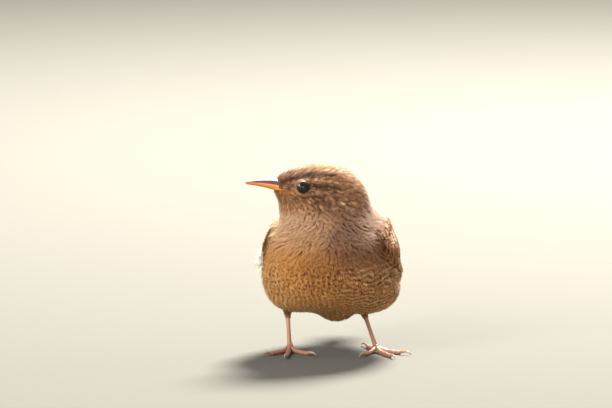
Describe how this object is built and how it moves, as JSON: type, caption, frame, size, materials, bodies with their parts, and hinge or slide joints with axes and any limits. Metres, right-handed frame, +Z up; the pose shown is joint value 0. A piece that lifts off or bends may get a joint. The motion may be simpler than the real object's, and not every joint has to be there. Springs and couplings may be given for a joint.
{
  "type": "wren bird figure",
  "caption": "Life-size wren standing on both feet with its head turned to its right, bill level, wings folded and short tail half raised.",
  "frame": {"origin": "middle of the bird's bounding box, on the floor under its feet", "axes": "+Z up; +Y away from the camera of the picture, roughly tailwards, and the longest side of the box; +X to the bird's left, which is the right of the picture"},
  "size_m": [0.05, 0.0696, 0.0573],
  "materials": {
    "body_plumage": "soft matte feathers",
    "wing_feathers": "matte feathers, barred dark and pale",
    "tail_feathers": "matte feathers, barred dark",
    "bill_upper_horn": "satin horn, dark",
    "bill_lower_horn": "satin horn, orange-yellow",
    "eye": "wet gloss, near black",
    "leg_skin": "scaly, low sheen",
    "claw_horn": "satin horn"
  },
  "bodies": {
    "root": {"head": "body_plumage", "neck": "body_plumage", "trunk": "body_plumage", "thigh_left": "body_plumage", "thigh_right": "body_plumage", "wing_left": "wing_feathers", "wing_right": "wing_feathers", "tail": "tail_feathers", "bill_upper": "bill_upper_horn", "bill_lower": "bill_lower_horn", "eye_left": "eye", "eye_right": "eye", "tarsus_left": "leg_skin", "tarsus_right": "leg_skin", "toe_left_inner": "leg_skin", "claw_left_inner": "claw_horn", "toe_left_middle": "leg_skin", "claw_left_middle": "claw_horn", "toe_left_outer": "leg_skin", "claw_left_outer": "claw_horn", "toe_left_hind": "leg_skin", "claw_left_hind": "claw_horn", "toe_right_inner": "leg_skin", "claw_right_inner": "claw_horn", "toe_right_middle": "leg_skin", "claw_right_middle": "claw_horn", "toe_right_outer": "leg_skin", "claw_right_outer": "claw_horn", "toe_right_hind": "leg_skin", "claw_right_hind": "claw_horn"}
  },
  "joints": []
}
